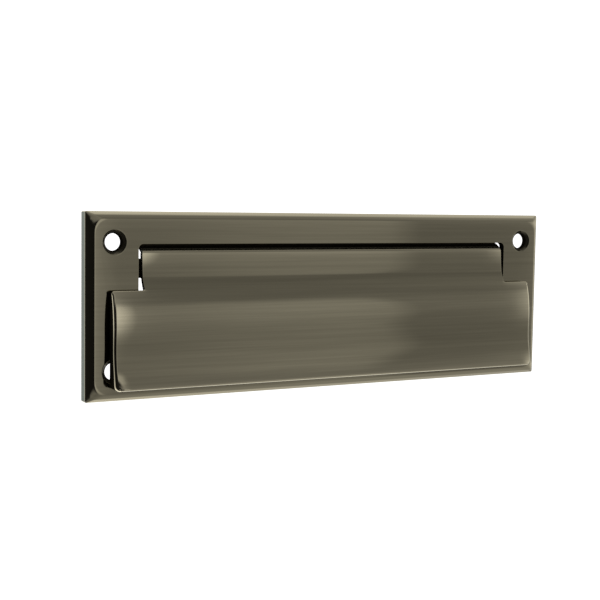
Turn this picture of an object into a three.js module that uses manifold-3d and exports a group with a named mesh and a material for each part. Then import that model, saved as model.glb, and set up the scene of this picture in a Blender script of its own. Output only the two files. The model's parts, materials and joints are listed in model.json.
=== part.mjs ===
// Mail slot front: a bevelled face plate with a spring-closed, T-shaped flap hinged behind it.
// Millimetres. +X to the right, +Z up, the front faces -Y. The back of the plate lies in Y = 0.
// The origin is on the back rail, at the middle of the plate's lower edge.
import * as THREE from 'three';
import { mergeVertices } from 'three/addons/utils/BufferGeometryUtils.js';
import Module from 'manifold-3d';

const wasm = await Module();
wasm.setup();

// ---- Driving dimensions -------------------------------------------------------------------

// Face plate
const PLATE_W = 228.6;
const PLATE_H = 76.2;
const PLATE_T = 6.9; // from the wall to the face
const EDGE_T = 4.3; // square edge behind the bevel
const BEVEL_W = 2.8; // bevel, seen from the front
const WEB_T = 3.4; // metal behind the face, inside the back rail
const BACK_RAIL = 4.0; // width of the rail that lies on the wall
const POCKET_CORNER_R = 2.0;
const HOLE_IN_X = 11.4; // screw hole centre from the plate's end
const HOLE_IN_Z = 12.2; // screw hole centre from the plate's long edge
const HOLE_R = 3.5;
const COUNTERSINK_R = 5.1;

// Slot, heights above the plate's lower edge
const SLOT_W = 185.2;
const SLOT_LOW = 25.2;
const SLOT_HIGH = 63.2;
const SLOT_CORNER_R = 2.0;

// Flap
const FLAP_W = 210.4;
const TONGUE_W = 182.4;
const SHOULDER_Z = 45.0; // top of the wide part, above the plate's lower edge
const SKIN_T = 1.9;
const CHEEK_T = 2.4; // end walls of the wide part
const CHEEK_GAP = 0.9; // between the end walls and the plate's face
const LUG_OUT = 91.0; // distance of a lug's outer face from the middle of the flap
const LUG_T = 4.5;
const LUG_R = 3.85;
const LIP_ARC_END = 0.22; // how far the lip's end stays in front of straight up, in radians
const SECTION_STEPS = 44;
const LIP_STEPS = 12;
const LIP_REAR_STEPS = 9; // the lip's rear is drawn down to here, and runs straight to the tongue's
const TONGUE_REAR_UP = 3.8; // the tongue's rear is drawn up to here, above the hinge axis

// Hinge, Y from the wall and Z above the plate's lower edge
const HINGE_Y = 0.5;
const HINGE_Z = 53.2;
const ROD_R = 2.0;
const ROD_HALF = 106.0;
const ROD_GROOVE_R = 1.6;
const ROD_CHAMFER = 0.5;
const RUNNING_GAP = 0.06;

// Brackets
const BASE_T = 2.2;
const BASE_IN = 93.2; // distance of the base's inner end from the middle of the plate
const BASE_OUT = 109.4;
const BASE_LOW = 38.0;
const BASE_HIGH = 48.4;
const BASE_CORNER_R = 1.5;
const EAR_IN = 100.2;
const EAR_T = 2.5;
const EAR_R = 4.2;
const EAR_START = -0.45; // where the ear's back edge meets its round end, in radians
const BRACKET_SCREWS_X = [95.8, 106.2];
const BRACKET_SCREW_Z = 41.2;
const SCREW_R = 1.25;
const SCREW_DEPTH = 2.1; // into the plate
const BORE_END = 0.3; // bore beyond the screw's tip, and a pocket beyond a spring's leg
const HEAD_R = 2.35;
const HEAD_T = 1.7;
const SCREW_CHAMFER = 0.3;
const RECESS_ARM = 1.45; // half length of the cross recess
const RECESS_HALF = 0.35; // half width of one of its slits
const RECESS_DEPTH = 0.9;

// Bushes, washers and clips on the rod
const BUSH_R = 2.6;
const FLANGE_R = 3.7;
const FLANGE_T = 0.8;
const WASHER_T = 0.6;
const WASHER_R = 3.9;
const CLIP_T = 0.8;
const CLIP_R = 3.6;
const CLIP_MOUTH = 1.5; // half width of the clip's open side
const CLIP_MOUTH_IN = 1.27; // the same, at the rod

// Return springs
const WIRE_R = 0.4;
const COIL_R = 2.75; // middle of the wire
const COIL_TURNS = 7;
const COIL_IN = 91.9;
const COIL_OUT = 98.2;
const LEG_HOLE_R = 0.55;
const LEG_HOLE_OFF = 3.1; // spring's pocket in the lug, from the hinge axis
const LEG_DEPTH = 2.2;
const LEAD_IN = 1.2; // from the inner leg's straight to the first turn
const LEG_LOW = 44.4; // end of the outer leg, above the plate's lower edge
const LEG_CLEAR = 0.2; // between the outer leg's end and the bracket's base
const LEG_BEND_Y = 0.5;
const LEG_BEND_Z = 2.3;
const POINTS_PER_TURN = 14;
const SPRING_STEPS = 130;
const WIRE_SEGMENTS = 4; // per half turn of the wire's section

const CONTACT_GAP = 0.1; // between pieces that are fastened face to face
const ROUND = 40; // segments of a full turn
const SMALL_ROUND = 24;
const CUT = 1.0; // how far a cutting solid runs past the surface it opens

// ---- Derived positions --------------------------------------------------------------------

const LOW = -BACK_RAIL / 2; // the plate's lower edge
const FACE_Y = -PLATE_T;
const WEB_BACK_Y = FACE_Y + WEB_T;
const AXIS_Z = LOW + HINGE_Z;
const CHEEK_BACK_Y = FACE_Y - CHEEK_GAP;

// Front of the flap in a section across it, [Y, height above the plate's lower edge], from the
// flared lip, over the waist and the crown, to the top edge of the tongue.
const SECTION = [
  [-15.4, 5.5],
  [-14.6, 8.2],
  [-13.8, 11.4],
  [-13.12, 14.9],
  [-12.72, 18.6],
  [-12.62, 22.0],
  [-12.72, 26.0],
  [-12.86, 30.0],
  [-12.7, 34.0],
  [-12.2, 38.0],
  [-11.2, 42.0],
  [-10.12, 44.3],
  [-8.8, 46.6],
  [-7.82, 48.8],
  [-7.35, 51.2],
  [-7.1, 55.2],
  [-6.95, 60.2],
];

// ---- Solids -------------------------------------------------------------------------------

function toSolid(geometry) {
  const bare = geometry.clone();
  bare.deleteAttribute('normal');
  bare.deleteAttribute('uv');
  const merged = mergeVertices(bare, 1e-4);
  const vertProperties = new Float32Array(merged.attributes.position.array);
  const triVerts = new Uint32Array(merged.index.array);
  return new wasm.Manifold(new wasm.Mesh({ numProp: 3, vertProperties, triVerts }));
}

function toGeometry(solid) {
  const mesh = solid.getMesh();
  const geometry = new THREE.BufferGeometry();
  geometry.setAttribute('position', new THREE.BufferAttribute(new Float32Array(mesh.vertProperties), 3));
  geometry.setIndex(new THREE.BufferAttribute(new Uint32Array(mesh.triVerts), 1));
  geometry.computeVertexNormals();
  return geometry;
}

// A shape drawn in X and Z, pushed from y towards the front (-Y) by depth.
function frontExtrude(shape, y, depth, options = {}) {
  const geometry = new THREE.ExtrudeGeometry(shape, {
    depth,
    bevelEnabled: false,
    curveSegments: ROUND / 4,
    ...options,
  });
  geometry.rotateX(Math.PI / 2);
  geometry.translate(0, y, 0);
  return geometry;
}

// A shape drawn in Y and Z, pushed from x0 to x1.
function sideExtrude(shape, x0, x1) {
  const geometry = new THREE.ExtrudeGeometry(shape, {
    depth: x1 - x0,
    bevelEnabled: false,
    curveSegments: ROUND / 2,
  });
  const turn = new THREE.Matrix4().makeBasis(
    new THREE.Vector3(0, 1, 0),
    new THREE.Vector3(0, 0, 1),
    new THREE.Vector3(1, 0, 0),
  );
  geometry.applyMatrix4(turn);
  geometry.translate(x0, 0, 0);
  return geometry;
}

// Two positions along X, the lower one first.
function span(a, b) {
  return [Math.min(a, b), Math.max(a, b)];
}

function box(x0, x1, y0, y1, z0, z1) {
  const geometry = new THREE.BoxGeometry(x1 - x0, y1 - y0, z1 - z0);
  geometry.translate((x0 + x1) / 2, (y0 + y1) / 2, (z0 + z1) / 2);
  return geometry;
}

// A round bar along X on the hinge axis, or behind it by behind.
function barX(radius, x0, x1, behind = 0, segments = ROUND) {
  const geometry = new THREE.CylinderGeometry(radius, radius, x1 - x0, segments);
  geometry.rotateZ(Math.PI / 2);
  geometry.translate((x0 + x1) / 2, HINGE_Y + behind, AXIS_Z);
  return geometry;
}

// A profile of [radius, x] points turned about the hinge axis. It starts and ends on the axis,
// or its last point repeats its first.
function turnedX(profile) {
  const points = profile.map(([radius, x]) => new THREE.Vector2(radius, x));
  const geometry = new THREE.LatheGeometry(points, ROUND);
  geometry.rotateZ(-Math.PI / 2);
  geometry.translate(0, HINGE_Y, AXIS_Z);
  return geometry;
}

function roundedRect(x0, x1, z0, z1, radius) {
  const shape = new THREE.Shape();
  shape.moveTo(x0 + radius, z0);
  shape.lineTo(x1 - radius, z0);
  shape.absarc(x1 - radius, z0 + radius, radius, -Math.PI / 2, 0);
  shape.lineTo(x1, z1 - radius);
  shape.absarc(x1 - radius, z1 - radius, radius, 0, Math.PI / 2);
  shape.lineTo(x0 + radius, z1);
  shape.absarc(x0 + radius, z1 - radius, radius, Math.PI / 2, Math.PI);
  shape.lineTo(x0, z0 + radius);
  shape.absarc(x0 + radius, z0 + radius, radius, Math.PI, Math.PI * 1.5);
  return shape;
}

function rect(x0, x1, z0, z1) {
  const shape = new THREE.Shape();
  shape.moveTo(x0, z0);
  shape.lineTo(x1, z0);
  shape.lineTo(x1, z1);
  shape.lineTo(x0, z1);
  shape.closePath();
  return shape;
}

// ---- Face plate ---------------------------------------------------------------------------

function screwHole(x, z) {
  const depth = COUNTERSINK_R - HOLE_R;
  const profile = [
    [0, FACE_Y - CUT],
    [COUNTERSINK_R + CUT, FACE_Y - CUT],
    [HOLE_R, FACE_Y + depth],
    [HOLE_R, CUT],
    [0, CUT],
  ];
  const points = profile.map(([radius, y]) => new THREE.Vector2(radius, y));
  const geometry = new THREE.LatheGeometry(points, ROUND);
  geometry.translate(x, 0, z);
  return toSolid(geometry);
}

function facePlate() {
  const flatHalfW = PLATE_W / 2 - BEVEL_W;
  const flat = rect(-flatHalfW, flatHalfW, LOW + BEVEL_W, LOW + PLATE_H - BEVEL_W);
  const rise = PLATE_T - EDGE_T;
  const slab = frontExtrude(flat, rise, EDGE_T + rise, {
    bevelEnabled: true,
    bevelSegments: 1,
    bevelSize: BEVEL_W,
    bevelThickness: rise,
  });
  let solid = toSolid(slab);
  solid = solid.subtract(toSolid(box(-PLATE_W, PLATE_W, 0, PLATE_T * 2, -PLATE_H, PLATE_H * 2)));

  const pocketHalfW = PLATE_W / 2 - BACK_RAIL;
  const pocketHigh = LOW + PLATE_H - BACK_RAIL;
  const pocket = roundedRect(-pocketHalfW, pocketHalfW, LOW + BACK_RAIL, pocketHigh, POCKET_CORNER_R);
  solid = solid.subtract(toSolid(frontExtrude(pocket, CUT, CUT - WEB_BACK_Y)));

  const slot = roundedRect(-SLOT_W / 2, SLOT_W / 2, LOW + SLOT_LOW, LOW + SLOT_HIGH, SLOT_CORNER_R);
  solid = solid.subtract(toSolid(frontExtrude(slot, CUT, PLATE_T + 2 * CUT)));

  for (const side of [-1, 1]) {
    const x = side * (PLATE_W / 2 - HOLE_IN_X);
    for (const z of [LOW + HOLE_IN_Z, LOW + PLATE_H - HOLE_IN_Z]) {
      solid = solid.subtract(screwHole(x, z));
    }
    for (const screwX of BRACKET_SCREWS_X) {
      solid = solid.subtract(screwBore(side * screwX));
    }
  }
  return toGeometry(solid);
}

// The bore for a bracket screw, through the bracket and into the plate.
function screwBore(x) {
  const radius = SCREW_R + CONTACT_GAP;
  const depth = SCREW_DEPTH + BORE_END;
  const length = depth + PLATE_T;
  const geometry = new THREE.CylinderGeometry(radius, radius, length, SMALL_ROUND);
  geometry.translate(x, WEB_BACK_Y - depth + length / 2, LOW + BRACKET_SCREW_Z);
  return toSolid(geometry);
}

// ---- Flap ---------------------------------------------------------------------------------

function sectionCurve() {
  const knots = SECTION.map(([y, z]) => new THREE.Vector2(y, LOW + z));
  return new THREE.SplineCurve(knots);
}

function aboutHinge(radius, angle) {
  return new THREE.Vector2(HINGE_Y + radius * Math.cos(angle), AXIS_Z + radius * Math.sin(angle));
}

// The skin's outline: up its front, back over the hinge on an arc about the hinge axis, and
// down its rear.
function skinOutline() {
  const curve = sectionCurve();
  const front = [];
  const rear = [];
  for (let i = 0; i <= SECTION_STEPS; i += 1) {
    const point = curve.getPoint(i / SECTION_STEPS);
    const tangent = curve.getTangent(i / SECTION_STEPS);
    front.push(point);
    rear.push(new THREE.Vector2(point.x + tangent.y * SKIN_T, point.y - tangent.x * SKIN_T));
  }
  const top = front[SECTION_STEPS];
  const outerR = Math.hypot(top.x - HINGE_Y, top.y - AXIS_Z);
  const start = Math.atan2(top.y - AXIS_Z, top.x - HINGE_Y);
  const end = Math.PI / 2 - LIP_ARC_END;
  const lipOuter = [];
  const lipInner = [];
  for (let i = 1; i <= LIP_STEPS; i += 1) {
    const angle = start + ((end - start) * i) / LIP_STEPS;
    lipOuter.push(aboutHinge(outerR, angle));
    lipInner.push(aboutHinge(outerR - SKIN_T, angle));
  }
  const lipRear = lipInner.reverse().slice(0, LIP_REAR_STEPS);
  const tongueRear = rear.filter((point) => point.y < AXIS_Z + TONGUE_REAR_UP).reverse();
  return [...front, ...lipOuter, ...lipRear, ...tongueRear];
}

// An end wall's outline, from the section to the back, drawn past the shoulder.
function cheekOutline() {
  const curve = sectionCurve();
  const points = [];
  for (let i = 0; i <= SECTION_STEPS; i += 1) {
    const point = curve.getPoint(i / SECTION_STEPS);
    if (point.y <= LOW + SHOULDER_Z + SKIN_T) {
      points.push(point);
    }
  }
  const last = points[points.length - 1];
  points.push(new THREE.Vector2(CHEEK_BACK_Y, last.y));
  points.push(new THREE.Vector2(CHEEK_BACK_Y, LOW + SECTION[0][1]));
  return points;
}

// A lug's outline: from the skin back round the hinge.
function lugOutline() {
  const frontY = FACE_Y + SKIN_T / 2;
  const shape = new THREE.Shape();
  shape.moveTo(frontY, AXIS_Z - LUG_R);
  shape.lineTo(HINGE_Y, AXIS_Z - LUG_R);
  shape.absarc(HINGE_Y, AXIS_Z, LUG_R, -Math.PI / 2, Math.PI / 2);
  shape.lineTo(frontY, AXIS_Z + LUG_R);
  shape.closePath();
  return shape;
}

function flap() {
  const half = FLAP_W / 2;
  const tongueHalf = TONGUE_W / 2;
  const reach = PLATE_T * 3;
  let solid = toSolid(sideExtrude(new THREE.Shape(skinOutline()), -half, half));
  for (const side of [-1, 1]) {
    const cheekEnds = span(side * half, side * (half - CHEEK_T));
    const cheek = sideExtrude(new THREE.Shape(cheekOutline()), cheekEnds[0], cheekEnds[1]);
    solid = solid.add(toSolid(cheek));
    const beside = span(side * tongueHalf, side * (half + CUT));
    const notch = box(beside[0], beside[1], -reach, reach, LOW + SHOULDER_Z, LOW + PLATE_H);
    solid = solid.subtract(toSolid(notch));

    const lugEnds = span(side * LUG_OUT, side * (LUG_OUT - LUG_T));
    solid = solid.add(toSolid(sideExtrude(lugOutline(), lugEnds[0], lugEnds[1])));
    const rodHole = barX(ROD_R + RUNNING_GAP, lugEnds[0] - CUT, lugEnds[1] + CUT);
    solid = solid.subtract(toSolid(rodHole));
    const pocketEnds = span(side * (LUG_OUT + CUT), side * (LUG_OUT - LEG_DEPTH - BORE_END));
    const pocket = barX(LEG_HOLE_R, pocketEnds[0], pocketEnds[1], LEG_HOLE_OFF, SMALL_ROUND);
    solid = solid.subtract(toSolid(pocket));
  }
  return toGeometry(solid);
}

// ---- Hinge hardware -----------------------------------------------------------------------

const CLIP_IN = EAR_IN + EAR_T + CONTACT_GAP + WASHER_T + CONTACT_GAP;

function hingeRod() {
  const grooveIn = CLIP_IN - CONTACT_GAP;
  const grooveOut = CLIP_IN + CLIP_T + CONTACT_GAP;
  const right = [
    [ROD_R, grooveIn],
    [ROD_GROOVE_R, grooveIn],
    [ROD_GROOVE_R, grooveOut],
    [ROD_R, grooveOut],
    [ROD_R, ROD_HALF - ROD_CHAMFER],
    [ROD_R - ROD_CHAMFER, ROD_HALF],
    [0, ROD_HALF],
  ];
  const left = right.map(([radius, x]) => [radius, -x]).reverse();
  return turnedX([...left, ...right]);
}

function bracket(side) {
  const backY = WEB_BACK_Y + CONTACT_GAP;
  const baseEnds = span(side * BASE_IN, side * BASE_OUT);
  const base = roundedRect(baseEnds[0], baseEnds[1], LOW + BASE_LOW, LOW + BASE_HIGH, BASE_CORNER_R);
  let solid = toSolid(frontExtrude(base, backY + BASE_T, BASE_T));
  const tangent = aboutHinge(EAR_R, EAR_START);
  const ear = new THREE.Shape();
  ear.moveTo(backY, LOW + BASE_LOW);
  ear.lineTo(backY + BASE_T, LOW + BASE_LOW);
  ear.lineTo(tangent.x, tangent.y);
  ear.absarc(HINGE_Y, AXIS_Z, EAR_R, EAR_START, Math.PI - Math.acos((HINGE_Y - backY) / EAR_R));
  ear.closePath();
  const earEnds = span(side * EAR_IN, side * (EAR_IN + EAR_T));
  solid = solid.add(toSolid(sideExtrude(ear, earEnds[0], earEnds[1])));
  const bushHole = barX(BUSH_R + RUNNING_GAP, earEnds[0] - CUT, earEnds[1] + CUT);
  solid = solid.subtract(toSolid(bushHole));
  for (const screwX of BRACKET_SCREWS_X) {
    solid = solid.subtract(screwBore(side * screwX));
  }
  return toGeometry(solid);
}

// A pan-head machine screw with a cross recess.
function bracketScrew(side, screwX) {
  const x = side * screwX;
  const z = LOW + BRACKET_SCREW_Z;
  const seatY = WEB_BACK_Y + CONTACT_GAP + BASE_T + CONTACT_GAP;
  const tipY = WEB_BACK_Y - SCREW_DEPTH;
  const topY = seatY + HEAD_T;
  const profile = [
    [0, tipY],
    [SCREW_R - SCREW_CHAMFER, tipY],
    [SCREW_R, tipY + SCREW_CHAMFER],
    [SCREW_R, seatY],
    [HEAD_R, seatY],
    [HEAD_R, seatY + HEAD_T * 0.5],
    [HEAD_R * 0.85, seatY + HEAD_T * 0.85],
    [HEAD_R * 0.5, topY],
    [0, topY],
  ];
  const points = profile.map(([radius, y]) => new THREE.Vector2(radius, y));
  const geometry = new THREE.LatheGeometry(points, SMALL_ROUND);
  geometry.translate(x, 0, z);
  let solid = toSolid(geometry);
  for (const [halfX, halfZ] of [[RECESS_ARM, RECESS_HALF], [RECESS_HALF, RECESS_ARM]]) {
    const slit = box(x - halfX, x + halfX, topY - RECESS_DEPTH, topY + CUT, z - halfZ, z + halfZ);
    solid = solid.subtract(toSolid(slit));
  }
  return toGeometry(solid);
}

// A flanged bush in the bracket's ear, its flange on the side of the spring.
function hingeBush(side) {
  const inner = ROD_R + RUNNING_GAP;
  const x0 = side * (EAR_IN - CONTACT_GAP - FLANGE_T);
  const x1 = side * (EAR_IN - CONTACT_GAP);
  const x2 = side * (EAR_IN + EAR_T);
  const profile = [
    [inner, x0],
    [FLANGE_R, x0],
    [FLANGE_R, x1],
    [BUSH_R, x1],
    [BUSH_R, x2],
    [inner, x2],
    [inner, x0],
  ];
  return turnedX(side > 0 ? profile : profile.reverse());
}

function thrustWasher(side) {
  const x0 = side * (EAR_IN + EAR_T + CONTACT_GAP);
  const x1 = x0 + side * WASHER_T;
  const inner = ROD_R + RUNNING_GAP;
  const profile = [
    [inner, x0],
    [WASHER_R, x0],
    [WASHER_R, x1],
    [inner, x1],
    [inner, x0],
  ];
  return turnedX(side > 0 ? profile : profile.reverse());
}

// A retaining clip: a flat open ring in the rod's groove, open downwards.
function rodClip(side) {
  const inner = ROD_GROOVE_R + RUNNING_GAP;
  const open = Math.asin(CLIP_MOUTH / CLIP_R);
  const openIn = Math.asin(CLIP_MOUTH_IN / inner);
  const shape = new THREE.Shape();
  const down = -Math.PI / 2;
  shape.absarc(HINGE_Y, AXIS_Z, CLIP_R, down + open, down - open + Math.PI * 2, false);
  shape.absarc(HINGE_Y, AXIS_Z, inner, down - openIn + Math.PI * 2, down + openIn, true);
  shape.closePath();
  const ends = span(side * CLIP_IN, side * (CLIP_IN + CLIP_T));
  return sideExtrude(shape, ends[0], ends[1]);
}

// A torsion spring: one leg in the lug's pocket, the coil round the rod, and one leg down to
// the bracket's base.
function springPath(side) {
  const legY = HINGE_Y + LEG_HOLE_OFF;
  const pocketX = LUG_OUT - LEG_DEPTH;
  const points = [
    new THREE.Vector3(side * pocketX, legY, AXIS_Z),
    new THREE.Vector3(side * (COIL_IN - LEAD_IN), legY, AXIS_Z),
    new THREE.Vector3(side * (COIL_IN - LEAD_IN / 2), legY, AXIS_Z + WIRE_R / 2),
  ];
  const steps = COIL_TURNS * POINTS_PER_TURN;
  for (let i = 1; i < steps; i += 1) {
    const angle = (i / POINTS_PER_TURN) * Math.PI * 2;
    const x = COIL_IN + ((COIL_OUT - COIL_IN) * i) / steps;
    const point = aboutHinge(COIL_R, angle);
    points.push(new THREE.Vector3(side * x, point.x, point.y));
  }
  const outX = side * (COIL_OUT + CONTACT_GAP);
  const restY = WEB_BACK_Y + CONTACT_GAP + BASE_T + WIRE_R + LEG_CLEAR;
  points.push(new THREE.Vector3(outX, HINGE_Y + COIL_R, AXIS_Z - WIRE_R));
  points.push(new THREE.Vector3(outX, HINGE_Y + COIL_R - LEG_BEND_Y, AXIS_Z - LEG_BEND_Z));
  points.push(new THREE.Vector3(outX, restY + LEG_BEND_Y, LOW + LEG_LOW + LEG_BEND_Z));
  points.push(new THREE.Vector3(outX, restY, LOW + LEG_LOW));
  return new THREE.CatmullRomCurve3(points, false, 'centripetal');
}

function returnSpring(side) {
  const section = new THREE.Shape();
  section.absarc(0, 0, WIRE_R, 0, Math.PI * 2);
  return new THREE.ExtrudeGeometry(section, {
    steps: SPRING_STEPS,
    curveSegments: WIRE_SEGMENTS,
    bevelEnabled: false,
    extrudePath: springPath(side),
  });
}

// ---- Materials ----------------------------------------------------------------------------

function finish(color, roughness, metalness) {
  return new THREE.MeshStandardMaterial({ color, roughness, metalness });
}

const antiqueNickel = () => finish(0x6a6658, 0.38, 1.0);
const zincSteel = () => finish(0xa9adb0, 0.4, 1.0);
const springSteel = () => finish(0x8d9093, 0.3, 1.0);
const nylon = () => finish(0xe6e2d6, 0.5, 0.0);

// ---- Assembly -----------------------------------------------------------------------------

const mailSlot = new THREE.Group();

function addPiece(name, geometry, material) {
  const mesh = new THREE.Mesh(geometry, material);
  mesh.name = name;
  mailSlot.add(mesh);
}

addPiece('face_plate', facePlate(), antiqueNickel());
addPiece('flap', flap(), antiqueNickel());
addPiece('hinge_rod', hingeRod(), zincSteel());

for (const [word, side] of [['left', -1], ['right', 1]]) {
  addPiece(`hinge_bracket_${word}`, bracket(side), zincSteel());
  addPiece(`bracket_screw_${word}_inner`, bracketScrew(side, BRACKET_SCREWS_X[0]), zincSteel());
  addPiece(`bracket_screw_${word}_outer`, bracketScrew(side, BRACKET_SCREWS_X[1]), zincSteel());
  addPiece(`hinge_bush_${word}`, hingeBush(side), nylon());
  addPiece(`thrust_washer_${word}`, thrustWasher(side), zincSteel());
  addPiece(`rod_clip_${word}`, rodClip(side), springSteel());
  addPiece(`return_spring_${word}`, returnSpring(side), springSteel());
}

export default mailSlot;
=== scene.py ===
"""Mail slot front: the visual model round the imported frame.

Shapes are drawn in millimetres, in the row frame: +X to the right, +Z up, and the front faces -Y.
"""
import json
import math

import bmesh
import bpy
import numpy as np
from mathutils import Matrix, Vector
from mathutils.geometry import tessellate_polygon


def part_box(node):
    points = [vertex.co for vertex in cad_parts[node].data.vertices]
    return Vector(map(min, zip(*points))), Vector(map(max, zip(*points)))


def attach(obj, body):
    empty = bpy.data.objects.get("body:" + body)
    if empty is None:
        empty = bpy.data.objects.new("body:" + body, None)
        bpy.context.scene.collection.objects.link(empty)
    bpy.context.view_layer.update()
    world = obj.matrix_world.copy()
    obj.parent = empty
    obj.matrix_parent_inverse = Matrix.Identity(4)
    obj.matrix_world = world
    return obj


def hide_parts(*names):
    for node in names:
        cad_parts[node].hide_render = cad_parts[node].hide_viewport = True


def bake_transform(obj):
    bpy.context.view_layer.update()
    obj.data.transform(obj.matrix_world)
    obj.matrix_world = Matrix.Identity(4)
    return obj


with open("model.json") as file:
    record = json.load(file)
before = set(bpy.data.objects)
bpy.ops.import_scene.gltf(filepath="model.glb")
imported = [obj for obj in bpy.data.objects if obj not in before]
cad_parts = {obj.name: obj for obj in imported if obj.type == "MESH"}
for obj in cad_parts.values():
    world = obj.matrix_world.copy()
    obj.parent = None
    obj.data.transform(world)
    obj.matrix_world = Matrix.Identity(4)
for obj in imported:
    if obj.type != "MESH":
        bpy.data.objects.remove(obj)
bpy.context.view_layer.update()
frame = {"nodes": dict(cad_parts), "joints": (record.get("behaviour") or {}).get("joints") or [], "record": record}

MM = 0.001

# ---- Frame positions, in millimetres ----------------------------------------------------------

plate_low, plate_high = (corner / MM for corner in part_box("face_plate"))
HALF_W = plate_high.x
LOW_Z = plate_low.z
HIGH_Z = plate_high.z
FACE_Y = plate_low.y
HINGE_Y, HINGE_Z = (value / MM for value in frame["joints"][0]["pos_m"][1:])


# ---- Mesh building ----------------------------------------------------------------------------


class Shell:
    """Points and faces of one mesh, in millimetres."""

    def __init__(self):
        self.points = []
        self.faces = []
        self.patina_and_shade = []  # how dark the finish is painted at each point, for patina and for painted shade: 0 in the open, 1 in a recess or in shade

    def ring(self, points, patina_and_shade=0.0):
        """Adds points with one amount of patina and painted shade, or with a list of them, and returns the points'
        numbers.
        """
        start = len(self.points)
        self.points.extend(tuple(point) for point in points)
        count = len(self.points) - start
        self.patina_and_shade.extend(patina_and_shade if isinstance(patina_and_shade, list) else [patina_and_shade] * count)
        return list(range(start, len(self.points)))

    def loft(self, rings):
        """Joins each closed ring to the next one."""
        for a, b in zip(rings, rings[1:]):
            count = len(a)
            for i in range(count):
                j = (i + 1) % count
                self.faces.append((a[i], a[j], b[j], b[i]))

    def fill(self, *loops):
        """Closes a flat region: the first loop is its outside, and the others are holes in it."""
        flat = [index for loop in loops for index in loop]
        corners = [[Vector(self.points[index]) for index in loop] for loop in loops]
        for triangle in tessellate_polygon(corners):
            self.faces.append(tuple(flat[i] for i in triangle))

    def piece(self, name, material, body, slot=None, replaces=()):
        """Makes the object. It rides on the body, unless that is None."""
        mesh = bpy.data.meshes.new(name)
        mesh.from_pydata([Vector(point) * MM for point in self.points], [], self.faces)
        obj = bpy.data.objects.new(name, mesh)
        bpy.context.scene.collection.objects.link(obj)
        mesh.attributes.new("patina_and_shade", "FLOAT", "POINT").data.foreach_set("value", self.patina_and_shade)
        clean(mesh)
        lay_grain(mesh)
        mesh.materials.append(material)
        if body:
            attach(obj, body)
        if replaces:
            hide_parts(*replaces)
        return obj


def clean(mesh):
    """Merges points that coincide, turns the faces outward and shades them smooth."""
    work = bmesh.new()
    work.from_mesh(mesh)
    bmesh.ops.remove_doubles(work, verts=work.verts, dist=2e-7)
    bmesh.ops.dissolve_degenerate(work, edges=work.edges, dist=1e-8)
    bmesh.ops.recalc_face_normals(work, faces=work.faces)
    for face in work.faces:
        face.smooth = True
    work.to_mesh(mesh)
    work.free()
    mesh.update()


FACES_AXIS = 0.85  # a face counts as an end or as level from this much of its normal
GRAIN_SCALE = 10  # UV units in a metre


def lay_grain(mesh):
    """UVs whose U runs along the brushing: along X, or along Y on an end face."""
    layer = mesh.uv_layers.get("grain") or mesh.uv_layers.new(name="grain")
    uvs = np.zeros((len(mesh.loops), 2), np.float32)
    for polygon in mesh.polygons:
        normal = polygon.normal
        end = abs(normal.x) > FACES_AXIS
        level = abs(normal.z) > FACES_AXIS
        for loop in polygon.loop_indices:
            x, y, z = (value * GRAIN_SCALE for value in mesh.vertices[mesh.loops[loop].vertex_index].co)
            uvs[loop] = (y, z) if end else (x, y if level else z)
    layer.data.foreach_set("uv", uvs.ravel())


def wear_and_highlight(mesh, amount):
    """Stores how far the dark finish is rubbed off or painted with highlights at each point, from 0 to 1."""
    layer = mesh.attributes.new("wear_and_highlight", "FLOAT", "POINT")
    for vert in mesh.vertices:
        layer.data[vert.index].value = amount(*(value / MM for value in vert.co))


def clamped(value):
    return max(0.0, min(1.0, value))


def soften(corners, radii, steps=4, support=0.12):
    """A polyline with its inner corners rounded, and a point just beyond each rounding."""
    points = [Vector(corners[0])]
    for before, corner, after, radius in zip(corners, corners[1:], corners[2:], radii):
        before, corner, after = Vector(before), Vector(corner), Vector(after)
        u = (before - corner).normalized()
        v = (after - corner).normalized()
        half = math.acos(max(-1.0, min(1.0, u.dot(v)))) / 2
        reach = radius / math.tan(half)
        centre = corner + (u + v).normalized() * radius / math.sin(half)
        start = corner + u * reach - centre
        end = corner + v * reach - centre
        points.append(corner + u * (reach + support))
        turn = start.angle_signed(end)
        for i in range(steps + 1):
            angle = -turn * i / steps
            points.append(centre + Matrix.Rotation(angle, 2) @ start)
        points.append(corner + v * (reach + support))
    points.append(Vector(corners[-1]))
    return points


def spline(knots, steps):
    """A uniform Catmull-Rom curve through the knots."""
    knots = [Vector(knot) for knot in knots]
    made = []
    last = len(knots) - 1
    for i in range(last):
        p0, p1, p2, p3 = knots[max(i - 1, 0)], knots[i], knots[i + 1], knots[min(i + 2, last)]
        for step in range(steps):
            t = step / steps
            made.append(
                0.5 * (2 * p1 + (p2 - p0) * t + (2 * p0 - 5 * p1 + 4 * p2 - p3) * t * t
                       + (3 * p1 - p0 - 3 * p2 + p3) * t ** 3)
            )
    made.append(knots[-1])
    return made


def rounded_loop(half_w, low, high, radius, steps=7):
    """Points (x, z) and outward directions round a rectangle centred on X, anticlockwise from the front."""
    points, outward = [], []
    for cx, cz, start in (
        (half_w - radius, low + radius, -90), (half_w - radius, high - radius, 0),
        (radius - half_w, high - radius, 90), (radius - half_w, low + radius, 180),
    ):
        for i in range(steps + 1):
            angle = math.radians(start + 90 * i / steps)
            away = Vector((math.cos(angle), math.sin(angle)))
            points.append(Vector((cx, cz)) + away * radius)
            outward.append(away)
    return points, outward


def circle(cx, cz, radius, count=56):
    turns = [2 * math.pi * i / count for i in range(count)]
    return [(cx + radius * math.cos(a), cz + radius * math.sin(a)) for a in turns]


# ---- Materials --------------------------------------------------------------------------------


def node(tree, kind, **inputs):
    made = tree.nodes.new(kind)
    for name, value in inputs.items():
        made.inputs[name.replace("_", " ")].default_value = value
    return made


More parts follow.
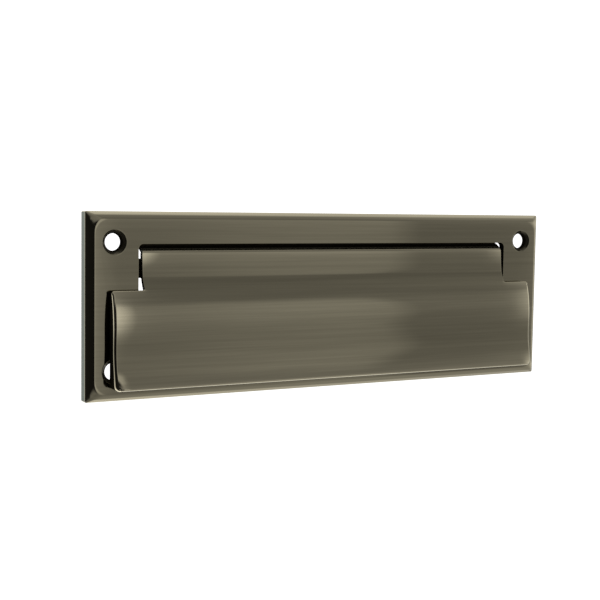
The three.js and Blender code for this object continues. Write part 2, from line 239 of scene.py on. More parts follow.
def ramp(tree, source, stops):
    """A colour ramp from (place, grey or colour) stops."""
    made = tree.nodes.new("ShaderNodeValToRGB")
    elements = made.color_ramp.elements
    elements.remove(elements[1])
    for number, (place, value) in enumerate(stops):
        element = elements[0] if number == 0 else elements.new(place)
        element.position = place
        element.color = (*value, 1) if isinstance(value, tuple) else (value, value, value, 1)
    tree.links.new(source, made.inputs["Fac"])
    return made.outputs["Color"]


def mixed(tree, kind, share, first, second):
    """Two colours blended by a share, or in full when that is None."""
    made = tree.nodes.new("ShaderNodeMix")
    made.data_type = "RGBA"
    made.blend_type = kind
    made.inputs["Factor"].default_value = 1.0
    if share:
        tree.links.new(share, made.inputs["Factor"])
    tree.links.new(first, made.inputs["A"])
    tree.links.new(second, made.inputs["B"])
    return made.outputs["Result"]


def streaks(tree, coordinates, scale):
    """Noise drawn out along the brushing."""
    mapping = tree.nodes.new("ShaderNodeMapping")
    mapping.inputs["Scale"].default_value = scale
    tree.links.new(coordinates, mapping.inputs["Vector"])
    noise = node(tree, "ShaderNodeTexNoise", Scale=1.0, Detail=3.0, Roughness=0.6)
    tree.links.new(mapping.outputs["Vector"], noise.inputs["Vector"])
    return noise.outputs["Fac"]


NOISE_LOW, NOISE_HIGH = 0.3, 0.7  # the noise's useful range
DARK_PATINA_AND_SHADE = (0.03, 0.028, 0.025)  # the full effects on the colour of patina and painted shade, and of wear and painted highlights
WORN_AND_HIGHLIT = (2.1, 2.1, 2.15)
DULL_FROM = 0.4  # the dark patina and painted shade don't shine: the metal look fades from this much of them


def from_noise(tree, noise, low, high):
    return ramp(tree, noise, ((NOISE_LOW, low), (NOISE_HIGH, high)))


def relief(tree, shader, height, strength, distance):
    bump = node(tree, "ShaderNodeBump", Strength=strength, Distance=distance)
    tree.links.new(height, bump.inputs["Height"])
    tree.links.new(bump.outputs["Normal"], shader.inputs["Normal"])


def attribute_value(tree, name):
    made = tree.nodes.new("ShaderNodeAttribute")
    made.attribute_name = name
    return made.outputs["Fac"]


def metal(name, light, dark, roughness, anisotropic, grain, bump, antique=False):
    """Plated or drawn metal: colour and roughness vary along the grain, with a fine bump."""
    material = bpy.data.materials.new(name)
    material.use_nodes = True
    tree = material.node_tree
    shader = tree.nodes["Principled BSDF"]
    shader.inputs["Metallic"].default_value = 1.0
    shader.inputs["Anisotropic"].default_value = anisotropic
    shader.inputs["Anisotropic Rotation"].default_value = 0.25
    if anisotropic:
        tangent = tree.nodes.new("ShaderNodeTangent")
        tangent.direction_type = "UV_MAP"
        tangent.uv_map = "grain"
        tree.links.new(tangent.outputs["Tangent"], shader.inputs["Tangent"])
    place = tree.nodes.new("ShaderNodeTexCoord").outputs["Object"]
    coarse, fine = (streaks(tree, place, scale) for scale in grain)
    colour = from_noise(tree, coarse, dark, light)
    if antique:
        # Patina and painted shade darken the colour; wear and painted highlights lighten it.
        patina_and_shade = attribute_value(tree, "patina_and_shade")
        for value, full in ((patina_and_shade, DARK_PATINA_AND_SHADE), (attribute_value(tree, "wear_and_highlight"), WORN_AND_HIGHLIT)):
            shade = ramp(tree, value, ((0.0, 1.0), (1.0, full)))
            colour = mixed(tree, "MULTIPLY", None, colour, shade)
        tree.links.new(ramp(tree, patina_and_shade, ((DULL_FROM, 1.0), (1.0, 0.0))), shader.inputs["Metallic"])
        shader.inputs["Specular IOR Level"].default_value = 0.0
    tree.links.new(colour, shader.inputs["Base Color"])
    tree.links.new(from_noise(tree, fine, *roughness), shader.inputs["Roughness"])
    relief(tree, shader, fine, *bump)
    return material


def moulded(name, light, dark, roughness):
    """A plain moulded plastic with a faint cloudiness."""
    material = bpy.data.materials.new(name)
    material.use_nodes = True
    tree = material.node_tree
    shader = tree.nodes["Principled BSDF"]
    shader.inputs["Subsurface Weight"].default_value = 0.1
    shader.inputs["Roughness"].default_value = roughness
    place = tree.nodes.new("ShaderNodeTexCoord").outputs["Object"]
    cloud = streaks(tree, place, (900, 900, 900))
    tree.links.new(from_noise(tree, cloud, dark, light), shader.inputs["Base Color"])
    relief(tree, shader, cloud, 0.15, 0.00005)
    return material


# Name, light and dark colour, roughness range, anisotropy, coarse and fine grain, bump.
NICKEL = metal(
    "antique_nickel", (0.40, 0.363, 0.256), (0.34, 0.308, 0.216), (0.062, 0.08), 1.0,
    ((14, 500, 900), (26, 1500, 3200)), (0.04, 0.00002), antique=True,
)
ZINC = metal(
    "zinc_plated_steel", (0.62, 0.64, 0.66), (0.5, 0.52, 0.55), (0.28, 0.42), 0.0,
    ((400, 400, 400), (2200, 2200, 2200)), (0.12, 0.00002),
)
SPRING = metal(
    "spring_steel", (0.46, 0.47, 0.49), (0.3, 0.31, 0.33), (0.22, 0.34), 0.0,
    ((300, 900, 900), (900, 2600, 2600)), (0.1, 0.00002),
)
NYLON = moulded("nylon", (0.83, 0.81, 0.75), (0.78, 0.755, 0.68), 0.42)


# ---- Face plate -------------------------------------------------------------------------------

EDGE_Y = -4.3  # front of the plate's square edge
BEVEL_W = 2.8
BEVEL_CREASE = 0.95  # depth of the bevel's middle behind the face
WEB_BACK_Y = -3.5
RAIL_W = 4.0
OUTER_MARGIN = 1.5  # flat drawn with the rim, inside the bevel and inside the rail
OUTER_ROUNDINGS = (1.6, 2.4, 0.35, 0.3, 0.3, 0.4)  # from the face round to the hollow back
CORNER_R = 0.7  # the plate's corners, at the edge
CORNER_GROWTH = 1.5  # how fast the corners' radius grows inward

HOLE_IN = (11.4, 12.2)  # screw hole from the plate's end and long edge
HOLE_R = 3.5
HOLE_MARGIN = 0.9
HOLE_ROUNDINGS = (0.35, 0.15, 0.2)
COUNTERSINK_R = 5.1

SLOT_HALF_W = 92.6
SLOT_LOW = LOW_Z + 25.2
SLOT_HIGH = LOW_Z + 63.2
SLOT_R = 2.0
SLOT_MARGIN = 1.2
SLOT_ROUNDINGS = (0.16, 0.2)

# Patina and painted shade in the slot and the screw holes: the walls darken from just behind the face.
PATINA_AND_SHADE_START = 0.01  # below the face
PATINA_AND_SHADE_FADE = 0.2
OPENING_BACK = 0.3  # the plate's back gets no patina or painted shade from this far outside an opening
CONE_PATINA_AND_SHADE = 0.55
CONE_START = 0.2  # outside the hole's radius
PLATE_WEAR_AND_HIGHLIGHT = 0.75
PLATE_WEAR_AND_HIGHLIGHT_REACH = 2.2
LOWER_WEAR_AND_HIGHLIGHT = 0.1  # the lower edge gets less wear and painted highlight than the others


def corner_radius(inset):
    return CORNER_R + CORNER_GROWTH * inset if inset < RAIL_W else RAIL_W


def in_recess(y):
    """The patina and painted shade at a depth in one of the plate's openings."""
    return clamped((y - FACE_Y - PATINA_AND_SHADE_START) / PATINA_AND_SHADE_FADE)


def in_slot(out, y):
    return in_recess(y) if out < OPENING_BACK else 0.0


def in_countersink(radius, y):
    behind = y > WEB_BACK_Y - 0.1
    if behind and radius > HOLE_R + OPENING_BACK:
        return 0.0
    return in_recess(y) * (1.0 if radius < HOLE_R + CONE_START else CONE_PATINA_AND_SHADE)


def plate_wear_and_highlight(x, _, z):
    """Wear and painted highlights on the plate's rim."""
    upper = min(HALF_W - abs(x), HIGH_Z - z)
    lower = z - LOW_Z
    share = LOWER_WEAR_AND_HIGHLIGHT if lower < upper else 1.0
    return PLATE_WEAR_AND_HIGHLIGHT * share * math.exp(-max(0.0, min(upper, lower)) / PLATE_WEAR_AND_HIGHLIGHT_REACH)


def face_plate():
    shell = Shell()
    outer = soften(
        (
            (BEVEL_W + OUTER_MARGIN, FACE_Y), (BEVEL_W, FACE_Y), (BEVEL_W / 2, FACE_Y + BEVEL_CREASE),
            (0, EDGE_Y), (0, 0), (RAIL_W, 0), (RAIL_W, WEB_BACK_Y), (RAIL_W + OUTER_MARGIN, WEB_BACK_Y),
        ),
        OUTER_ROUNDINGS,
    )
    rings = []
    for inset, y in outer:
        loop, _ = rounded_loop(HALF_W - inset, LOW_Z + inset, HIGH_Z - inset, corner_radius(inset))
        rings.append(shell.ring((x, y, z) for x, z in loop))
    shell.loft(rings)
    front, back = [rings[0]], [rings[-1]]

    slot, away = rounded_loop(SLOT_HALF_W, SLOT_LOW, SLOT_HIGH, SLOT_R)
    wall = soften(
        ((SLOT_MARGIN, FACE_Y), (0, FACE_Y), (0, WEB_BACK_Y), (SLOT_MARGIN, WEB_BACK_Y)), SLOT_ROUNDINGS,
    )
    rings = [
        shell.ring(((p.x + n.x * out, y, p.y + n.y * out) for p, n in zip(slot, away)), in_slot(out, y))
        for out, y in wall
    ]
    shell.loft(rings)
    front.append(rings[0])
    back.append(rings[-1])

    depth = COUNTERSINK_R - HOLE_R
    bore = soften(
        (
            (COUNTERSINK_R + HOLE_MARGIN, FACE_Y), (COUNTERSINK_R, FACE_Y), (HOLE_R, FACE_Y + depth),
            (HOLE_R, WEB_BACK_Y), (HOLE_R + HOLE_MARGIN, WEB_BACK_Y),
        ),
        HOLE_ROUNDINGS,
    )
    for side in (-1, 1):
        x = side * (HALF_W - HOLE_IN[0])
        for z in (LOW_Z + HOLE_IN[1], HIGH_Z - HOLE_IN[1]):
            rings = [
                shell.ring(((px, y, pz) for px, pz in circle(x, z, radius)), in_countersink(radius, y))
                for radius, y in bore
            ]
            shell.loft(rings)
            front.append(rings[0])
            back.append(rings[-1])
    shell.fill(*front)
    shell.fill(*back)
    piece = shell.piece("face_plate_body", NICKEL, "plate", "antique_nickel", ["face_plate"])
    wear_and_highlight(piece.data, plate_wear_and_highlight)


# ---- Flap -------------------------------------------------------------------------------------

# The front in a cut across the flap, from the flared lip up: Y, and height above the plate's lower edge.
SECTION = (
    (-15.4, 5.5), (-14.6, 8.2), (-13.8, 11.4), (-13.12, 14.9), (-12.72, 18.6), (-12.62, 22.0),
    (-12.72, 26.0), (-12.86, 30.0), (-12.7, 34.0), (-12.2, 38.0), (-11.2, 42.0), (-10.12, 44.3),
    (-8.8, 46.6), (-7.82, 48.8), (-7.35, 51.2), (-7.1, 55.2), (-6.95, 60.2),
)
LIP_H = SECTION[0][1]
SHOULDER_H = 45.0
CREST_H = 60.1
CREST_R = 0.9
ARC_PAST_TOP = 0.22  # how far behind straight up the top's arc about the hinge ends, in radians
FLAP_HALF = (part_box("flap")[1] / MM).x
TONGUE_HALF = 91.2
SKIN_T = 1.9
CHEEK_T = 2.4
CHEEK_IN = FLAP_HALF - CHEEK_T
CHEEK_BACK_Y = FACE_Y - 0.9
CHEEK_ROOT = 0.6  # the cheek's inner face starts this far inside the outline

# Radii in the flap's outline, then of its edges
LOW_CORNER_R = 2.3
SHOULDER_CORNER_R = 1.3
NOTCH_R = 0.7
TONGUE_CORNER_R = 0.9
TONGUE_CORNER_TURN = 42  # degrees
ARC_END_CORNER_R = 0.6
ARC_END_EDGE_R = 0.4
LIP_EDGE_R = 0.6
END_EDGE_R = 1.15
SHOULDER_EDGE_R = 0.55
TONGUE_EDGE_R = 0.22
REAR_EDGE_R = 0.3

# Spacing of the flap's mesh
SIDE_GAP = 0.25  # between a side's points and its ends
CHEEK_STEP = 0.06  # from the cheek's inner face to the next point of the skin
FRONT_MARGIN = 0.15
FRONT_SKIRT = 0.2
REAR_MARGINS = (0.45, 0.6)

LUG_OUT = 91.0
LUG_T = 4.5
LUG_R = 3.85
LUG_HOLE_R = 2.06
LUG_FRONT_Y = FACE_Y + 1.4

# Painted shade on the flap's rear and on the top's arc as it goes behind the plate.
REAR_PAINTED_SHADE = 0.4
PAINTED_SHADE_PAST_CREST = 0.6

# Buffing of the front
BUFF_CUTS = (1.5, 2.2, 3.3, 4.5, 6.0, 7.5, 9.0, 12.0, 16.0, 22.0)  # cuts across the front, from the ends
BUFF_REACH = 12.0  # how far the buffing rounds the ends
BUFF_DROP = 0.3
CROWN_H = 36.5  # middle of the buffed part of the wide ends
CROWN_REACH = 9.5
TONGUE_BUFF_REACH = 5.5  # how far down the tongue its buffed ends reach
CORNER_REACH = 7.0  # the lower corners are rubbed down further
CORNER_TOP = 13.5
CORNER_DROP = 1.1
CHEEK_FADE = 3.0  # buffing doesn't reach the cheeks' rear edges, and fades in over this depth

# Wear and painted highlights: the largest amount, and how far it reaches
END_WEAR_AND_HIGHLIGHT, END_WEAR_AND_HIGHLIGHT_REACH = 0.8, 7.0
END_WEAR_AND_HIGHLIGHT_LOW, END_WEAR_AND_HIGHLIGHT_FADE = 28.0, 1.5  # below this height the ends get no wear or painted highlight
CROWN_WEAR_AND_HIGHLIGHT, CROWN_WEAR_AND_HIGHLIGHT_REACH = 0.2, 7.0
LIP_WEAR_AND_HIGHLIGHT, LIP_WEAR_AND_HIGHLIGHT_REACH = 0.7, 3.5
SHOULDER_WEAR_AND_HIGHLIGHT, SHOULDER_WEAR_AND_HIGHLIGHT_REACH = 0.6, 0.9
TONGUE_END_WEAR_AND_HIGHLIGHT = 0.5
CREST_WEAR_AND_HIGHLIGHT, CREST_WEAR_AND_HIGHLIGHT_REACH = 0.5, 2.0


class Section:
    """The flap's front in a cut across it, by the distance along it from the flared lip."""

    def __init__(self):
        line = spline([(y, LOW_Z + h) for y, h in SECTION], 6)
        top = line[-1]
        hinge = Vector((HINGE_Y, HINGE_Z))
        radius = (top - hinge).length
        start = math.atan2(top.y - hinge.y, top.x - hinge.x)
        end = math.pi / 2 - ARC_PAST_TOP
        arc = [
            hinge + radius * Vector((math.cos(a), math.sin(a))) for a in np.linspace(start, end, 17)
        ]
        crest = soften((line[-3], top, arc[2]), (CREST_R,), steps=5, support=0.2)
        line = line[:-3] + crest + arc[3:]
        self.line = np.array([tuple(point) for point in line])
        lengths = np.hypot(*np.diff(self.line, axis=0).T)
        self.along = np.concatenate(([0.0], np.cumsum(lengths)))
        slope = np.gradient(self.line, self.along, axis=0)
        self.slope = slope / np.hypot(*slope.T)[:, None]
        self.shoulder = float(np.interp(LOW_Z + SHOULDER_H, self.line[:, 1], self.along))
        self.crest = float(np.interp(LOW_Z + CREST_H, self.line[:, 1], self.along))
        self.end = float(self.along[-1])

    def at(self, v, depth):
        """The point (y, z) at a distance along the front and a depth behind it."""
        y, z, sy, sz = (
            float(np.interp(v, self.along, values))
            for values in (*self.line.T, *self.slope.T)
        )
        return y + sz * depth, z - sy * depth


def half_outline(section):
    """The flap's right edge, from the flared lip to the end of the arc above the tongue.

    Each point has u along X, v along the section, the outward direction, the edge's radius, and
    whether the cheek hangs from it.
    """
    made = []

    def point(u, v, nu, nv, edge, cheek):
        made.append((u, v, nu, nv, edge, cheek))

    def arc(cu, cv, radius, start, end, edge, cheek, steps=6, hollow=False):
        for i in range(steps + 1):
            angle = math.radians(start + (end - start) * i / steps)
            away = (math.cos(angle), math.sin(angle))
            sign = -1 if hollow else 1
            point(cu + away[0] * radius, cv + away[1] * radius, sign * away[0], sign * away[1], edge, cheek)

    def side(u, v0, v1, edge, cheek):
        for v in section.along:
            if v0 + SIDE_GAP < v < v1 - SIDE_GAP:
                point(u, float(v), 1.0, 0.0, edge, cheek)

    shoulder, crest, end = section.shoulder, section.crest, section.end
    point(CHEEK_IN - CHEEK_STEP, 0.0, 0.0, -1.0, LIP_EDGE_R, False)
    point(CHEEK_IN, 0.0, 0.0, -1.0, LIP_EDGE_R, True)
    corner = LOW_CORNER_R
    arc(FLAP_HALF - corner, corner, corner, -90, 0, END_EDGE_R, True)
    side(FLAP_HALF, corner, shoulder - SHOULDER_CORNER_R, END_EDGE_R, True)
    corner = SHOULDER_CORNER_R
    arc(FLAP_HALF - corner, shoulder - corner, corner, 0, 90, SHOULDER_EDGE_R, True)
    point(CHEEK_IN, shoulder, 0.0, 1.0, SHOULDER_EDGE_R, True)
    point(CHEEK_IN - CHEEK_STEP, shoulder, 0.0, 1.0, SHOULDER_EDGE_R, False)
    corner = NOTCH_R
    arc(TONGUE_HALF + corner, shoulder + corner, corner, -90, -180, SHOULDER_EDGE_R, False, 4, True)
    side(TONGUE_HALF, shoulder + corner, crest - TONGUE_CORNER_R, TONGUE_EDGE_R, False)
    corner = TONGUE_CORNER_R
    arc(TONGUE_HALF - corner, crest - corner, corner, 0, TONGUE_CORNER_TURN, TONGUE_EDGE_R, False, 5)
    arc_u = made[-1][0]
    side(arc_u, crest, end - 0.5, TONGUE_EDGE_R, False)
    corner = ARC_END_CORNER_R
    arc(arc_u - corner, end - corner, corner, 0, 90, ARC_END_EDGE_R, False, 3)
    return made


def flap():
    section = Section()
    shell = Shell()
    right = half_outline(section)
    left = [(-u, v, -nu, nv, edge, cheek) for u, v, nu, nv, edge, cheek in reversed(right)]
    outline = right + left
    count = len(right)

    def place(u, v, depth):
        return (u, *section.at(v, depth))

    def front_ring(angle, margin=0.0, skirt=0.0):
        """A ring on the front's rounded edge: angle 0 is on the face, and a right angle on the side."""
        ring = []
        for u, v, nu, nv, edge, _ in outline:
            inset = edge * (1 - math.sin(angle)) + margin
            ring.append(place(u - nu * inset, v - nv * inset, edge * (1 - math.cos(angle)) + skirt))
        # Painted shade: the sides are fully dark from the skirt back, and the top's arc darkens past the crest.
        if skirt:
            return shell.ring(ring, 1.0)
        return shell.ring(ring, [clamped(v - section.crest - PAINTED_SHADE_PAST_CREST) for _, v, *_ in outline])

    def rear_ring(cheek_place, skin_inset, skin_depth, patina_and_shade=1.0):
        """A ring behind the side: on the cheeks' rear edges, and elsewhere on the skin's."""
        ring = []
        for u, v, nu, nv, edge, cheek in outline:
            if cheek:
                ring.append(cheek_place(u, v, nu, nv, edge))
            else:
                ring.append(place(u - nu * skin_inset, v - nv * skin_inset, skin_depth))
        return shell.ring(ring, patina_and_shade)

    def cheek_side(y, inset):
        def made(u, v, nu, nv, edge):
            x, _, z = place(u, v, edge)
            return (x - nu * inset, y, max(LOW_Z + LIP_H, z) - nv * inset)
        return made

    def cheek_rear(u, v, nu, nv, edge):
        _, _, z = place(u, v, edge)
        low, high = LOW_Z + LIP_H + REAR_EDGE_R, LOW_Z + SHOULDER_H - REAR_EDGE_R
        return (math.copysign(CHEEK_IN, u), CHEEK_BACK_Y, max(low, min(z, high)))

    def cheek_root(u, v, nu, nv, edge):
        kept = CHEEK_ROOT + v / section.shoulder * (section.shoulder - 2 * CHEEK_ROOT)
        return (math.copysign(CHEEK_IN, u), *section.at(kept, SKIN_T))

    steps = 6
    rings = [front_ring(0, margin=FRONT_MARGIN)]
    rings += [front_ring(math.pi / 2 * i / steps) for i in range(steps + 1)]
    rings.append(front_ring(math.pi / 2, skirt=FRONT_SKIRT))
    # Painted shade behind the sides: full on the rear edges, less on the rear itself.
    steps = 3
    for i in range(steps + 1):
        angle = math.pi / 2 * i / steps
        inset = REAR_EDGE_R * (1 - math.cos(angle))
        ahead = REAR_EDGE_R * (1 - math.sin(angle))
        rings.append(rear_ring(cheek_side(CHEEK_BACK_Y - ahead, inset), inset, SKIN_T - ahead))
    for cheek_place, margin in zip((cheek_rear, cheek_root), REAR_MARGINS):
        rings.append(rear_ring(cheek_place, margin, SKIN_T, REAR_PAINTED_SHADE))
    shell.loft(rings)
    rows(shell, rings[0], outline, count)
    rows(shell, rings[-1], outline, count)
    for side in (-1, 1):
        lug(shell, side)
    piece = shell.piece("flap_body", NICKEL, "flap", "antique_nickel", ["flap"])
    buff(piece.data)


def rows(shell, ring, outline, count):
    """Closes the flap's front or rear with strips that run straight across it."""
    levels = [[0]]
    for i in range(1, count):
        here, before = outline[i][3], outline[i - 1][3]
        level_run = abs(here) > 0.999 and here * before > 0.998
        if level_run:
            levels[-1].append(i)
        else:
            levels.append([i])
    for number, above in enumerate(levels[1:]):
        below = levels[0] if number == 0 else levels[number][-1:]
        right = [*below, *above]
        left = [2 * count - 1 - i for i in reversed(right)]
        shell.faces.append(tuple(ring[i] for i in [*right, *left]))


def lug(shell, side):
    """The ear on the tongue's rear that the rod passes through."""
    low, high = HINGE_Z - LUG_R, HINGE_Z + LUG_R
    outline = [(LUG_FRONT_Y, low), (LUG_FRONT_Y / 2, low)]
    for angle in np.linspace(-math.pi / 2, math.pi / 2, 25):
        outline.append((HINGE_Y + LUG_R * math.cos(angle), HINGE_Z + LUG_R * math.sin(angle)))
    outline += [(LUG_FRONT_Y / 2, high), (LUG_FRONT_Y, high)]
    hole = circle(HINGE_Y, HINGE_Z, LUG_HOLE_R, 32)
    x0, x1 = sorted((side * LUG_OUT, side * (LUG_OUT - LUG_T)))
    caps = ([], [])
    for loop, turn in ((outline, 1), (hole, -1)):
        points = [Vector(p) for p in loop]
        away = []
        for i in range(len(points)):
            along = (points[(i + 1) % len(points)] - points[i - 1]).normalized()
            away.append(Vector((along.y, -along.x)) * turn)
        rings = []
        for inset, x in soften(((0.5, x0), (0, x0), (0, x1), (0.5, x1)), (0.25, 0.25), 3, 0.05):
            # Painted shade on the lug: full on its outer half, less elsewhere.
            patina_and_shade = 1.0 if abs(x) > LUG_OUT - LUG_T / 2 else REAR_PAINTED_SHADE
            rings.append(shell.ring(((x, *(p - n * inset)) for p, n in zip(points, away)), patina_and_shade))
        shell.loft(rings)
        caps[0].append(rings[0])
        caps[1].append(rings[-1])
    for cap in caps:
        shell.fill(*cap)


def buff(mesh):
    """Rounds the ends of the flap's front a little, as buffing does, on cuts made across it."""
    work = bmesh.new()
    work.from_mesh(mesh)
    for limit in (TONGUE_HALF, FLAP_HALF):
        for inset in BUFF_CUTS:
            for side in (-1, 1):
                everything = [*work.verts, *work.edges, *work.faces]
                cut = (side * (limit - inset) * MM, 0, 0)
                bmesh.ops.bisect_plane(work, geom=everything, dist=1e-7, plane_co=cut, plane_no=(1, 0, 0))
    for vert in work.verts:
        x, y, z = (value / MM for value in vert.co)
        if y < FACE_Y + SKIN_T * 2:
            vert.co.y += buffed_off(abs(x), y, z - LOW_Z) * MM
    for face in work.faces:
        face.smooth = True
    work.to_mesh(mesh)
    work.free()
    lay_grain(mesh)
    wear_and_highlight(mesh, flap_wear_and_highlight)


def buffed_off(x, y, h):
    """How much buffing takes off the flap's front, at a distance from its middle, a depth and a height."""
    if x > TONGUE_HALF + 0.01 or h < SHOULDER_H:
        near = max(0.0, x - FLAP_HALF + BUFF_REACH) / BUFF_REACH
        crown = math.exp(-(((h - CROWN_H) / CROWN_REACH) ** 2))
        corner = max(0.0, x - FLAP_HALF + CORNER_REACH) / CORNER_REACH
        low = clamped((CORNER_TOP - h) / (CORNER_TOP - LIP_H))
        front = clamped((CHEEK_BACK_Y - y) / CHEEK_FADE)
        return front * (BUFF_DROP * crown * near ** 2 + CORNER_DROP * low ** 1.5 * corner ** 3)
    near = max(0.0, x - TONGUE_HALF + BUFF_REACH) / BUFF_REACH
    share = math.exp(-(((CREST_H - h) / TONGUE_BUFF_REACH) ** 2))
    return BUFF_DROP * share * near ** 2


def flap_wear_and_highlight(x, _, z):
    """Wear and painted highlights on the flap: its ends, its crown, its lip and its shoulders, or the tongue's
    ends and crest.
    """
    h = z - LOW_Z
    wide = h < SHOULDER_H + 0.1
    inset = (FLAP_HALF if wide else TONGUE_HALF) - abs(x)
    end = math.exp(-max(0.0, inset) / END_WEAR_AND_HIGHLIGHT_REACH)
    if wide:
        crown = math.exp(-(((h - CROWN_H) / CROWN_WEAR_AND_HIGHLIGHT_REACH) ** 2))
        upper = 1 / (1 + math.exp(-(h - END_WEAR_AND_HIGHLIGHT_LOW) / END_WEAR_AND_HIGHLIGHT_FADE))
        lip = math.exp(-(h - LIP_H) / LIP_WEAR_AND_HIGHLIGHT_REACH)
        total = END_WEAR_AND_HIGHLIGHT * end * upper + CROWN_WEAR_AND_HIGHLIGHT * crown + LIP_WEAR_AND_HIGHLIGHT * lip
        if abs(x) > TONGUE_HALF - 1:
            total += SHOULDER_WEAR_AND_HIGHLIGHT * math.exp(-max(0.0, SHOULDER_H - h) / SHOULDER_WEAR_AND_HIGHLIGHT_REACH)
    else:
        down = max(0.0, CREST_H - h)
        ends = end * math.exp(-((down / TONGUE_BUFF_REACH) ** 2))
        total = TONGUE_END_WEAR_AND_HIGHLIGHT * ends + CREST_WEAR_AND_HIGHLIGHT * math.exp(-down / CREST_WEAR_AND_HIGHLIGHT_REACH)
    return min(1.0, total)


# ---- Return springs ---------------------------------------------------------------------------

WIRE_R = 0.4
COIL_R = 2.75
COIL_IN = 91.9  # the coil's inner end, from the middle of the plate
COIL_OUT = 98.2
COIL_TURNS = 7
COIL_POINTS = 20  # points in a turn
POCKET_DEPTH = 2.2  # how far the inner leg reaches into the lug
LEG_OUT = 98.3
LEG_HOLE_OFF = 3.1  # the lug's pocket behind the hinge axis
LEG_REST_Y = -0.6  # the outer leg lies against the bracket's base here
LEG_LOW = 44.4  # the outer leg's end, above the plate's lower edge
LEG_BEND = 2.3  # from each end of the outer leg's straight part
LEG_SLANT = 0.5
DOME = ((0.35, 0.0), (0.75, 0.12), (0.93, 0.23), (1.0, 0.3))  # a wire end's radius and place, in wire radii


def coil_path(side):
    """The spring's middle line: out of the lug's pocket, round the rod, and down to the bracket."""
    leg_y = HINGE_Y + LEG_HOLE_OFF
    lead = [
        (side * (LUG_OUT - POCKET_DEPTH), leg_y, HINGE_Z), (side * (COIL_IN - 1.2), leg_y, HINGE_Z),
        (side * (COIL_IN - 0.6), leg_y, HINGE_Z + WIRE_R / 2),
    ]
    steps = COIL_TURNS * COIL_POINTS
    coil = []
    for i in range(1, steps):
        angle = 2 * math.pi * i / COIL_POINTS
        x = COIL_IN + (COIL_OUT - COIL_IN) * i / steps
        coil.append((side * x, HINGE_Y + COIL_R * math.cos(angle), HINGE_Z + COIL_R * math.sin(angle)))
    leg = [
        (side * LEG_OUT, HINGE_Y + COIL_R, HINGE_Z - WIRE_R),
        (side * LEG_OUT, HINGE_Y + COIL_R - LEG_SLANT, HINGE_Z - LEG_BEND),
        (side * LEG_OUT, LEG_REST_Y + LEG_SLANT, LOW_Z + LEG_LOW + LEG_BEND),
        (side * LEG_OUT, LEG_REST_Y, LOW_Z + LEG_LOW),
    ]
    return spline(lead, 3) + [Vector(point) for point in coil] + spline(leg, 5)


def tube(shell, path, radius, sides=12):
    """A round wire along a path, with domed ends."""
    last = len(path) - 1
    turns = [2 * math.pi * k / sides for k in range(sides)]
    along = [(path[min(i + 1, last)] - path[max(i - 1, 0)]).normalized() for i in range(last + 1)]
    across = along[0].orthogonal().normalized()
    rings = []
    for i, (point, ahead) in enumerate(zip(path, along)):
        across = (across - ahead * across.dot(ahead)).normalized()
        up = ahead.cross(across)
        around = [across * math.cos(a) + up * math.sin(a) for a in turns]
        places = [(point, 1.0)]
        if i in (0, last):
            inward = ahead * radius * (1 if i == 0 else -1)
            places = [(point + inward * shift, size) for size, shift in DOME]
            if i == last:
                places.reverse()
        for centre, size in places:
            rings.append(shell.ring(centre + away * radius * size for away in around))
    shell.loft(rings)
    shell.fill(rings[0])
    shell.fill(rings[-1])


def return_spring(word, side):
    shell = Shell()
    tube(shell, coil_path(side), WIRE_R)
    piece = shell.piece(
        f"return_spring_{word}_wire", SPRING, None, "spring_steel", [f"return_spring_{word}"],
    )
    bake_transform(piece)


# ---- Camera, light and floor ------------------------------------------------------------------

# The photograph's camera, from a least-squares fit to the plate's edges, holes and slot. Place in metres.
SENSOR_WIDTH = 36.0
LENS = 73.21
CAMERA_AT = (-0.27718, -0.46345, 0.07874)
CAMERA_RIGHT = (0.87024, -0.49238, 0.01525)
CAMERA_UP = (0.02598, 0.07679, 0.99671)

# Brightness round the studio, by the angle from +X towards +Y in degrees: at eye level, above and below it.
# The stops were set to bring the reflections close to the photograph's.
AROUND = (
    (0, 0.75), (12, 0.45), (45, 0.5), (85, 0.9), (102, (0.26, 0.31, 0.36)), (118, (0.29, 0.345, 0.4)),
    (130, 0.95), (168, 0.9), (186, 0.012), (277, 0.012), (279.5, 0.3), (282, 0.62), (287.5, 0.6),
    (289.6, 0.42), (290.3, 0.285), (293, 0.29), (297, 0.345), (301, 0.37), (303.7, 0.375),
    (304.2, 0.235), (309, 0.245), (312, 0.32), (325, 0.55), (350, 0.9),
)
AROUND_HIGH = (
    (0, 0.6), (30, 0.8), (90, 1.0), (110, 0.8), (170, 0.4), (186, 0.02), (232, 0.02),
    (248, 0.22), (284, 0.3), (292, 0.21), (310, 0.22), (318, 0.24), (325, 0.28), (333, 0.32), (343, 0.42),
)
AROUND_LOW = (
    (0, 0.5), (20, 0.8), (40, 1.5), (90, 1.6), (170, 0.9), (186, 0.02), (232, 0.02),
    (248, 0.22), (284, 0.3), (300, 0.36), (318, 0.42), (343, 0.48),
)
# Shares and brightness by the height above the horizon in degrees.
BLEND_UP = ((-90, 0.0), (15, 0.0), (20, 1.0), (90, 1.0))
BLEND_DOWN = ((-90, 1.0), (-30, 1.0), (-16, 0.0), (90, 0.0))
LEVELS = ((-90, 1.0), (-20, 1.0), (-9, 0.95), (2, 1.03), (14, 1.0), (90, 1.0))
CEILING = ((-90, 0.0), (50, 0.0), (70, 0.12), (90, 0.2))

FLOOR_Z = -300
FLOOR_RINGS = (0.2, 400, 900, 1800)
BACKDROP_R = 4500


def make_camera():
    data = bpy.data.cameras.new("camera")
    data.sensor_width = SENSOR_WIDTH
    data.lens = LENS
    data.clip_start = 0.01
    camera = bpy.data.objects.new("camera", data)
    bpy.context.scene.collection.objects.link(camera)
    right, up = Vector(CAMERA_RIGHT), Vector(CAMERA_UP)
    turn = Matrix((right, up, right.cross(up))).transposed()
    camera.matrix_world = Matrix.LocRotScale(Vector(CAMERA_AT), turn, None)
    bpy.context.scene.camera = camera


def heights(stops):
    return [(0.5 + degrees / 180, value) for degrees, value in stops]


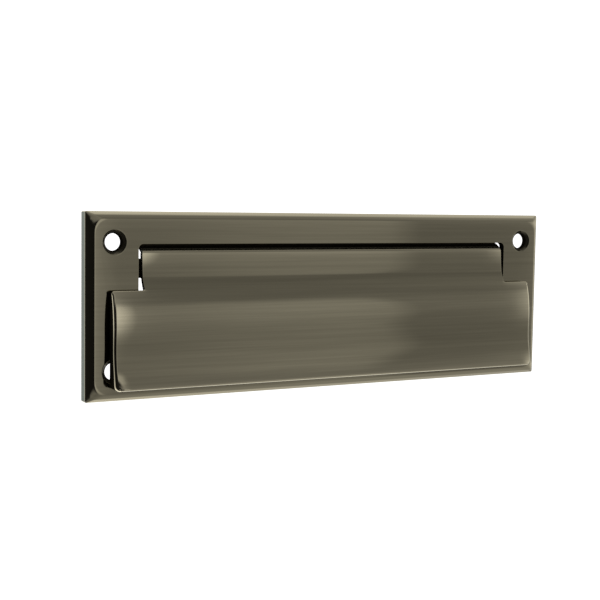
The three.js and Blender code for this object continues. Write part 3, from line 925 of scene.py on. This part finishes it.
def make_world():
    """A pale studio: white behind and below, a dark side at the front left, and soft panels in front."""
    world = bpy.data.worlds.new("studio")
    bpy.context.scene.world = world
    world.use_nodes = True
    tree = world.node_tree
    place = tree.nodes.new("ShaderNodeTexCoord").outputs["Generated"]
    parts = tree.nodes.new("ShaderNodeSeparateXYZ")
    tree.links.new(place, parts.inputs["Vector"])

    def maths(operation, a, b=None):
        made = tree.nodes.new("ShaderNodeMath")
        made.operation = operation
        for socket, value in zip(made.inputs, (a, b)):
            if isinstance(value, (int, float)):
                socket.default_value = value
            elif value is not None:
                tree.links.new(value, socket)
        return made.outputs["Value"]

    turn = maths("ARCTAN2", parts.outputs["Y"], parts.outputs["X"])
    turn = maths("FRACT", maths("ADD", maths("DIVIDE", turn, 2 * math.pi), 1.0))
    height = maths("DIVIDE", maths("ARCSINE", parts.outputs["Z"]), math.pi / 2)
    up = maths("ADD", maths("MULTIPLY", height, 0.5), 0.5)
    level, above, below = (
        ramp(tree, turn, [(degrees / 360, value) for degrees, value in stops])
        for stops in (AROUND, AROUND_HIGH, AROUND_LOW)
    )
    for share, colour in ((BLEND_UP, above), (BLEND_DOWN, below)):
        level = mixed(tree, "MIX", ramp(tree, up, heights(share)), level, colour)
    level = mixed(tree, "MULTIPLY", None, level, ramp(tree, up, heights(LEVELS)))
    level = mixed(tree, "ADD", None, level, ramp(tree, up, heights(CEILING)))
    background = tree.nodes["Background"]
    background.inputs["Strength"].default_value = 1.0
    tree.links.new(level, background.inputs["Color"])


def glowing(name, strength):
    material = bpy.data.materials.new(name)
    material.use_nodes = True
    shader = material.node_tree.nodes["Principled BSDF"]
    shader.inputs["Base Color"].default_value = (0.9, 0.9, 0.9, 1)
    shader.inputs["Roughness"].default_value = 0.9
    shader.inputs["Specular IOR Level"].default_value = 0.1
    shader.inputs["Emission Color"].default_value = (1, 1, 1, 1)
    shader.inputs["Emission Strength"].default_value = strength
    return material


def make_floor():
    """A pale floor and a white backdrop round it. The metal reflects the studio's own light instead."""
    shell = Shell()
    rings = []
    for radius in FLOOR_RINGS:
        rings.append(shell.ring((x, y, FLOOR_Z) for x, y in circle(0, 0, radius, 96)))
    shell.loft(rings)
    shell.fill(rings[0])
    floor = shell.piece("floor", glowing("pale_floor", 0.7), None)
    dome = Shell()
    rings = []
    for angle in np.linspace(-math.pi / 2 + 0.001, math.pi / 2 - 0.001, 33):
        radius = BACKDROP_R * math.cos(angle)
        height = BACKDROP_R * math.sin(angle)
        rings.append(dome.ring((x, y, height) for x, y in circle(0, 0, radius, 64)))
    dome.loft(rings)
    backdrop = dome.piece("backdrop", glowing("white_backdrop", 1.1), None)
    for stage in (floor, backdrop):
        stage.visible_glossy = False
        stage.visible_diffuse = False
        stage.visible_shadow = False


# ---- Build ------------------------------------------------------------------------------------

make_camera()
make_world()
make_floor()
face_plate()
flap()
for word, side in (("left", -1), ("right", 1)):
    return_spring(word, side)

FINISHES = {"zinc_plated_steel": ZINC, "spring_steel": SPRING, "nylon": NYLON, "antique_nickel": NICKEL}
for part in frame["record"]["subparts"]:
    obj = frame["nodes"][part["node"]]
    for slot in obj.material_slots:
        slot.material = FINISHES[part["material_slot"]]

bpy.context.scene.view_settings.view_transform = "Standard"
